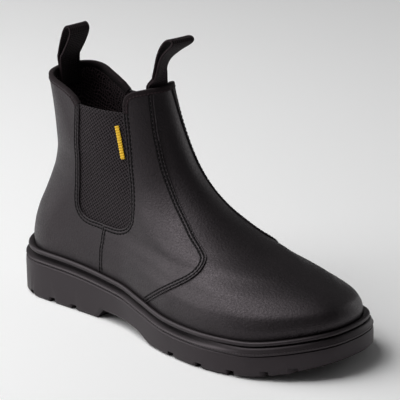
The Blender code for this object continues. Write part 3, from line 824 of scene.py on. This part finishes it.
rows = []
for _, side, height, keep, seated in edges:
    for away in LEATHER_ROWS:
        tries = [beside(seated, way * away, height, side) for way in (-1, 1)]
        placed, normal = max(tries, key=lambda row: (keep(row[0]) > 0).mean())
        shown = (keep(placed) > 0.5) & (placed[:, 2] > bead_height(placed[:, 0]) + 1)
        rows.append(stitch_row(placed[shown], normal[shown]))
stitches = gather("stitches", rows, THREAD)

# %% [markdown]
# The gore is woven elastic: rubber threads covered in polyester, which draw the cloth into fine
# zigzag ribs. The ribs are real relief here, worked out on a fine grid, and the top edge is a
# straight woven selvedge.

# %% Gores
RIB_PITCH = 1.9
RIB_HEIGHT = 0.12
ZIGZAG = (5.2, 2.6)  # its length along the boot, and its swing in ribs, times two
SELVEDGE, SELVEDGE_HEIGHT = 3.2, 0.35
GORE_EXTRA = 1.6  # under the leather's edge
GORE_TOP = 150.0
GORE_THICK = 1.2


def rib_height(turn, level):
    """Ribs that zigzag: a sine of z / pitch, its phase moved by a triangle wave of x."""
    base = last_point(turn, level)
    x, z = base[..., 0], base[..., 2]
    zigzag = np.abs((x / ZIGZAG[0]) % 1 - 0.5) * ZIGZAG[1]
    ribs = np.sin(2 * np.pi * (z / RIB_PITCH + zigzag))
    plain = np.clip((z - (GORE_TOP - SELVEDGE)) / 0.6, 0, 1)
    return RIB_HEIGHT * ribs * (1 - plain) + plain * SELVEDGE_HEIGHT - GORE_SINK


def gore_keep(points):
    """The opening and a little more, below the straight top edge."""
    return np.minimum(inside(points, GORE_RING) + GORE_EXTRA, GORE_TOP - points[..., 2])


def cloth_numbers(points, lean=0.0):
    """Cloth coordinates from the place itself, good enough for a plain weave."""
    x, y, z = points.T
    return {"cloth": np.stack([x + lean * y, z, 0 * x], -1)}


for name, turns in (("gore_lateral", (0.14, 0.41, 330)), ("gore_medial", (0.59, 0.86, 330))):
    made = panel(name + "_cloth", turns, (1.3, 8.9, 200), rib_height, gore_keep, GORE_THICK,
                 ELASTIC, cloth_numbers)
    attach(made, "root")
    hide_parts(name)
print("gore ribs every", RIB_PITCH, "mm")

# %% [markdown]
# The collar is bound with a woven tape that is folded over the leather and the lining. It runs
# round the back from gore to gore, and round the front from gore to gore.

# %% Collar binding


def topline(x, front):
    """Height of the collar's edge at x, on the back or the front part."""
    rows = np.array(TOPLINE_FRONT[2:] if front else TOPLINE_BACK + [(75.5, 150.0)], float)
    return np.interp(x, rows[:, 0], rows[:, 1])


def collar_level(turn, front):
    """Level at which the face reaches the collar's edge, by halving."""
    low, high = np.full(turn.shape, 7.0), np.full(turn.shape, 9.9)
    for _ in range(30):
        middle = (low + high) / 2
        point = on_last(turn, middle, OVERLAY)
        above = point[..., 2] > topline(point[..., 0], front)
        low, high = np.where(above, low, middle), np.where(above, middle, high)
    return (low + high) / 2


def collar_path(front):
    """Turns and levels along one bound edge, from gore to gore."""
    turns = np.linspace(0.33, 0.5, 201) if front else np.linspace(0.0, 0.33, 301)
    levels = collar_level(turns, front)
    x = on_last(turns, levels, OVERLAY)[:, 0]
    if front:
        rise = smooth_line([(115.5, 150.0), (115.0, 157.0), (116.2, 161.5), (119.0, 164.0)], 8)
        turn, level = find(rise[:, 0], rise[:, 1], OVERLAY)
        turns, levels = np.append(turn, turns[x > 120]), np.append(level, levels[x > 120])
        return (np.concatenate([turns, 1 - turns[-2::-1]]), np.append(levels, levels[-2::-1]))
    turns, levels = turns[x < 75.3], levels[x < 75.3]
    return np.concatenate([-turns[:0:-1], turns]), np.append(levels[:0:-1], levels)


# the folded tape's section, outer leg first: (down the boot's face, out of it)
TAPE = np.array([(-3.5, -0.05), (-3.4, 0.22), (-0.4, 0.3), (0.3, 0.05), (0.6, -0.7),
                 (0.6, -2.7), (0.1, -3.6), (-0.7, -3.85), (-5.2, -3.8), (-5.4, -3.4), (-0.6, -3.3),
                 (0.1, -2.6), (0.1, -0.6), (-0.4, -0.1)])
TAPE_DEPTH = 3.8  # of the section, before it is fitted to the wall
NARROWER = 2.0  # the back's outer leg than the front's
TAPE_ROW = 2.7  # from the collar's edge to the stitches
TAPE_PITCH = 2.6
tapes, tape_rows = [], []
for front, height in ((False, COUNTER), (True, OVERLAY)):
    turn, level = collar_path(front)
    path, normal = on_last(turn, level, height), last_normal(turn, level)
    both, _ = evenly(np.concatenate([path, normal], axis=1), 0.8)
    path, normal = both[:, :3], unit(both[:, 3:])
    across = unit(np.cross(np.gradient(path, axis=0), normal))
    flip = -1 if across[len(across) // 2, 2] < 0 else 1
    squeeze = (WALL + height + 0.5) / TAPE_DEPTH
    folded = TAPE * (flip, squeeze)
    if not front:
        folded[:2, 0] += flip * NARROWER
    tapes.append(sweep("tape", path, normal, folded, BINDING))
    down = across * -flip * TAPE_ROW + normal * 0.3
    tape_rows.append(stitch_row(path + down, normal, TAPE_PITCH))
collar_tape = join("collar_tape", tapes)
tape_stitches = gather("tape_stitches", tape_rows, TAPE_THREAD)
for made in (vamp, *quarters, counter, turned_edges, stitches):
    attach(made, "root")
for made in (collar_tape, tape_stitches):
    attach(made, "root")

# %% [markdown]
# The lining is one soft inner wall. It follows the last a little further in than the leather, from
# the insole to the collar, and has the same openings.

# %% Lining
LINING_OUT = -2.05
LINING_SHORT = 0.4  # below the collar's line and round the gore's opening
LINING_THICK = 0.5
lining = panel("lining", (-0.5, 0.5, 221), (0.1, 9.3, 81),
               lambda turn, level: 0 * level + LINING_OUT,
               lambda points: -inside(points, OPENING) - LINING_SHORT, LINING_THICK, LINING,
               lambda points: cloth_numbers(points, 1.0))
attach(lining, "root")
for made in (vamp, *quarters, counter, lining):
    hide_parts("upper")

# %% [markdown]
# The sole's side is a profile of bead, channel and ridge. It is carried round the outline, and each
# of its points lies between the feather edge and the sole's edge. Round the toe the channel closes
# to one narrow groove.

# %% Midsole
MIDSOLE_SIDE = [
    # towards the sole's edge along the sides, drop below the bead, towards the edge at the toe
    (-0.05, 3.35, -0.05), (0.06, 1.2, 0.06), (0.18, 0.35, 0.18), (0.36, 0.0, 0.36),
    (0.56, 0.25, 0.56), (0.68, 1.2, 0.68), (0.66, 2.6, 0.66), (0.44, 3.3, 0.34),
    (0.10, 4.0, 0.66), (0.0, 5.0, 0.80), (0.10, 6.0, 0.86), (0.44, 6.7, 0.90),
    (0.80, 7.4, 0.93), (0.92, 8.1, 0.96), (0.80, 9.2, 0.95)]
# CHANNEL: the drops between which the moulding gets painted shade; CHANNEL_SHADE: how dark it is
CHANNEL = (3.1, 6.7)  # drops between which the moulding is in its own shade
CHANNEL_SHADE = 0.9
TOE = (190.0, 70.0)  # where the profile starts to change, and over which length
SOLE_COUNT = 720
OVAL_MIDDLE = 130.0  # the plain oval under the waist
OVAL = (15.0, 8.5)
RIDGE_CREST = (0.93, 8.1, 0.965)
SERRATION = 2.4  # between the ridge's fine teeth


def channel_share(drop):
    """1 inside the channel under the bead, 0 above and below it."""
    return np.clip(np.minimum(drop - CHANNEL[0], CHANNEL[1] - drop) / 0.5, 0, 1)


def at_toe(x):
    """0 along the sides and 1 round the toe, where the channel is shallow."""
    t = np.clip((x - TOE[0]) / TOE[1], 0, 1)
    return t * t * (3 - 2 * t)


def side_rows(rows, steps):
    """Rings of the sole's side for a smoothed profile like MIDSOLE_SIDE."""
    angle = 2 * np.pi * np.arange(SOLE_COUNT) / SOLE_COUNT
    feather = last_point(angle / (2 * np.pi), 0 * angle)[:, :2]
    plan = sole_outline(angle)
    toward, drop, toe = np.array(smooth_line(rows, steps) if steps > 1 else rows, float).T
    share = toward[:, None] + (toe - toward)[:, None] * at_toe(plan[:, 0])
    ring = feather[None] + (plan - feather)[None] * share[..., None]
    height = bead_height(ring[..., 0]) - drop[:, None]
    return np.concatenate([ring, height[..., None]], -1)


def closed_rings(name, rings, material, numbers=None):
    """A closed body of rings, with a flat lid across each end."""
    rows, count = rings.shape[:2]
    faces = grid_faces(rows, count, ring=True)
    for first in (0, (rows - 1) * count):
        far = first + count // 2
        faces += [[first + i, first + i + 1, first + count - i - 1, first + count - i]
                  for i in range(1, count // 2 - 1)]
        faces += [[first, first + 1, first + count - 1], [far - 1, far, far + 1]]
    made = piece(name, rings.reshape(-1, 3), faces, material, numbers, smooth=40)
    reshape(made.data, bmesh.ops.recalc_face_normals, "faces")
    return made


def merged_copy(name, node, material):
    """The CAD solid's own form with its triangles joined, so that its curved wall shades smooth."""
    mesh = node.data.copy()
    mesh.name = name
    reshape(mesh, bmesh.ops.remove_doubles, "verts", dist=1e-6)
    mesh.shade_smooth()
    mesh.set_sharp_from_angle(angle=math.radians(20))
    mesh.materials.clear()
    mesh.materials.append(material)
    made = in_scene(name, mesh)
    made.modifiers.new("even shading", "WEIGHTED_NORMAL").keep_sharp = True
    return made


rings = side_rows(MIDSOLE_SIDE, 5)
# painted shade in the channel under the bead, faded out round the toe
shade = channel_share(smooth_line(MIDSOLE_SIDE, 5)[:, 1])[:, None]
shade = CHANNEL_SHADE * shade * (1 - at_toe(rings[..., 0]))
midsole = closed_rings("midsole_moulding", rings, MIDSOLE_PU, {"shade": shade.ravel()})
ridge = side_rows([RIDGE_CREST], 1)[0]
ridge = np.concatenate([ridge, ridge[:1]])
outwards = unit(np.cross(np.gradient(ridge, axis=0), (0, 0, 1)) * (1, 1, 0))
serration = gather("ridge_serration", [stitch_row(ridge, outwards, SERRATION)], MIDSOLE_PU)
for made in (midsole, serration):
    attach(made, "root")
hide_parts("midsole")
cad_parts["insole"].material_slots[0].material = INSOLE
tread = merged_copy("tread_moulding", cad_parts["outsole"], TREAD_PU)
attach(tread, "root")
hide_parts("outsole")

turn = 2 * np.pi * np.arange(96) / 96
x, y = OVAL_MIDDLE + OVAL[0] * np.cos(turn), OVAL[1] * np.sin(turn)
path = np.stack([x, y, np.interp(x, UNDER["x"], UNDER["z"])], -1)
rim = sweep("waist_oval", path, np.broadcast_to((0.0, 0.0, -1.0), path.shape), oval(1.1, 0.5),
            TREAD_PU, closed=True)
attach(rim, "root")
print("midsole", len(midsole.data.polygons), "faces")

# %% [markdown]
# The pull loops are flat woven webbing, bent on itself and sewn inside the collar. A loop is a
# strip: the webbing's way seen from the side, and stations across it. Its two edges are a little
# thicker, as a woven selvedge is.

# %% Pull loops
WEB_HALF_WIDTH = 9.2
LOOP_BACK_ROWS = [(31.3, 172, 0), (33.4, 180, 0), (37.0, 190, 0), (39.8, 194.6, 0),
                  (42.6, 195.8, 0), (44.8, 193.6, 0), (44.6, 190.0, 0), (41.2, 183.0, 0),
                  (37.4, 177.0, 0), (34.2, 172, 0)]
LOOP_FRONT_ROWS = [(127.0, 173, 18), (128.4, 179.0, 24), (131.8, 186.0, 18), (138.6, 193.0, 4),
                   (147.0, 199.2, -6), (149.6, 202.4, -8), (147.2, 204.0, -8), (142.0, 202.4, -4),
                   (135.6, 197.2, 6), (129.6, 189.4, 18), (125.9, 180.6, 24), (124.6, 173, 18)]
SEAT_LEVELS = (8.25, 8.75, 9.1)
SEAT_DEPTHS = (1.0, 2.6)  # of the two legs behind the leather
WEB_THICK, WEB_ROUND = 1.5, 0.35
FLAT_SHARE = 0.9  # the webbing's thickness between its edges
WEB_EDGE = 1.7


def seat_line(turn, level, depth, stations):
    """A line across the webbing that lies against the inside of the collar."""
    turns = turn + np.linspace(-0.12, 0.12, 97)
    face = on_last(turns, np.full(turns.shape, level), -WALL - depth)
    order = np.argsort(face[:, 1])
    return np.stack([np.interp(stations, face[order, 1], face[order, 0]), stations,
                     np.interp(stations, face[order, 1], face[order, 2])], -1)


def web_loop(name, rows, turn):
    """The strip's lines: up one leg, over the fold and down the other."""
    stations = np.linspace(-1, 1, 25) * WEB_HALF_WIDTH
    lines = [seat_line(turn, level, SEAT_DEPTHS[0], stations) for level in SEAT_LEVELS]
    for x, z, turned in smooth_line(rows, 3):
        angle = math.radians(turned)
        lines.append(np.stack([x - stations * math.sin(angle), stations * math.cos(angle),
                               np.full(stations.shape, z)], -1))
    lines += [seat_line(turn, level, SEAT_DEPTHS[1], stations) for level in SEAT_LEVELS[::-1]]
    lines = np.array(lines)
    fine = np.stack([smooth_line(lines[:, i], 3) for i in range(lines.shape[1])], 1)
    count, number = fine.shape[:2]
    length = length_along(fine[:, number // 2])
    made = piece(name, fine.reshape(-1, 3), grid_faces(count, number), WEBBING,
                 {"cloth": cloth_grid(length, stations)})
    group = made.vertex_groups.new(name="selvedge")
    for i in range(number):
        weight = 1.0 if abs(stations[i]) > WEB_HALF_WIDTH - WEB_EDGE else FLAT_SHARE
        group.add([row * number + i for row in range(count)], weight, "REPLACE")
    web = made.modifiers.new("webbing", "SOLIDIFY")
    web.thickness, web.offset = WEB_THICK * MM, 0
    web.vertex_group, web.thickness_vertex_group = "selvedge", 0.0
    bevel = made.modifiers.new("rounded", "BEVEL")
    bevel.width, bevel.segments, bevel.angle_limit = WEB_ROUND * MM, 2, math.radians(60)
    print(name, "webbing", round(float(length[-1])), "x", round(2 * WEB_HALF_WIDTH, 1), "mm")
    return made


for name, rows, turn in (("pull_loop_back", LOOP_BACK_ROWS, 0.0),
                         ("pull_loop_front", LOOP_FRONT_ROWS, 0.5)):
    made = web_loop(name + "_web", rows, turn)
    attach(made, "root")
    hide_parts(name)

# %% [markdown]
# A small yellow woven tab is sewn on the gore beside its front edge. It stays plain, with the
# ridges of its satin stitch.

# %% Yellow tab
TAB = [(110.6, 140.4), (116.8, 118.0)]  # top and bottom, seen from the side
TAB_WIDTH = 2.9
TAB_THICK = 0.4
TAB_STITCHES, TAB_RELIEF, TAB_SINK = 13, 0.3, 0.35
YELLOW = finish_of("yellow embroidery thread", "#e6b80c", 0.65, Sheen_Weight=0.1)[0]

for side in (-1, 1):
    t, w = np.meshgrid(np.linspace(0, 1, 121), np.linspace(-0.5, 0.5, 13), indexing="ij")
    top, bottom = np.array(TAB[0]), np.array(TAB[1])
    across = unit(np.array([bottom[1] - top[1], top[0] - bottom[0]]))
    plan = top + (bottom - top) * t[..., None] + across * (w * TAB_WIDTH)[..., None]
    turn, level = find(plan[..., 0].ravel(), plan[..., 1].ravel(), 0.0)
    turn = turn if side < 0 else 1 - turn
    ridge = TAB_RELIEF * (np.sin(2 * np.pi * t * TAB_STITCHES) + 1 - (2 * w) ** 6).ravel()
    made = piece("tab_outer" if side < 0 else "tab_inner", on_last(turn, level, ridge - TAB_SINK),
                 grid_faces(*t.shape), YELLOW)
    if side < 0:
        made.data.flip_normals()
    wall = made.modifiers.new("tab", "SOLIDIFY")
    wall.thickness, wall.offset = TAB_THICK * MM, -1
    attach(made, "root")

# %% [markdown]
# The studio: a pale floor, a room that is dim round the boot and pale behind it, and soft lamps. A
# black boot shows its shape by what it mirrors, so the lamps' places decide where the leather
# turns grey. The broad key lamp stands behind and beside the heel, so the outer side is lit and
# the top of the vamp stays dark.

# %% Floor, light and camera
FLOOR_HALF = 1.4
ROOM = (0.08, 0.85)  # light that the boot mirrors, and that is seen behind it
corners = [(x * FLOOR_HALF, y * FLOOR_HALF, 0) for x, y in ((-1, -1), (1, -1), (1, 1), (-1, 1))]
floor_mesh = bpy.data.meshes.new("floor")
floor_mesh.from_pydata(corners, [], [(0, 1, 2, 3)])
floor_mesh.materials.append(finish_of("pale floor", "#fbfbfb", 0.8)[0])
in_scene("floor", floor_mesh)

world = bpy.data.worlds.new("room")
world.use_nodes = True
room = world.node_tree.nodes["Background"]
seen = add(world, "LightPath").outputs["Is Camera Ray"]
bright = add(world, "MapRange", {0: seen, 3: ROOM[0], 4: ROOM[1]})
world.node_tree.links.new(bright.outputs[0], room.inputs["Strength"])
room.inputs["Color"].default_value = (1, 1, 1, 1)
bpy.context.scene.world = world
bpy.context.scene.view_settings.view_transform = "Standard"

AIM = Vector((-0.0037, 0.0170, 0.0838))
LAMPS = [
    # name, direction, distance, size, watts
    ("key", (-0.62, -0.50, 0.60), 1.6, 1.9, 29),
    ("above", (-0.22, -0.33, 0.92), 1.5, 0.9, 9),
    ("inner side", (0.15, 1.0, 0.16), 1.8, 0.9, 3),
]
for name, direction, distance, size, watts in LAMPS:
    lamp = bpy.data.lights.new(name, "AREA")
    lamp.size, lamp.energy = size, watts
    holder = in_scene(name, lamp)
    holder.location = AIM + Vector(direction).normalized() * distance
    holder.rotation_euler = (AIM - holder.location).to_track_quat("-Z", "Y").to_euler()

CAMERA_PLACE = Vector((1.2114, -1.1850, 0.6552))
CAMERA_ROLL = math.radians(-1.0)
CAMERA_LENS, FILM_WIDTH = 232.0, 36.0
camera = bpy.data.cameras.new("camera")
camera.lens, camera.sensor_width = CAMERA_LENS, FILM_WIDTH
viewer = in_scene("camera", camera)
look = (AIM - CAMERA_PLACE).to_track_quat("-Z", "Y").to_matrix().to_4x4()
roll = Matrix.Rotation(CAMERA_ROLL, 4, "Z")
viewer.matrix_world = Matrix.Translation(CAMERA_PLACE) @ look @ roll
bpy.context.scene.camera = viewer
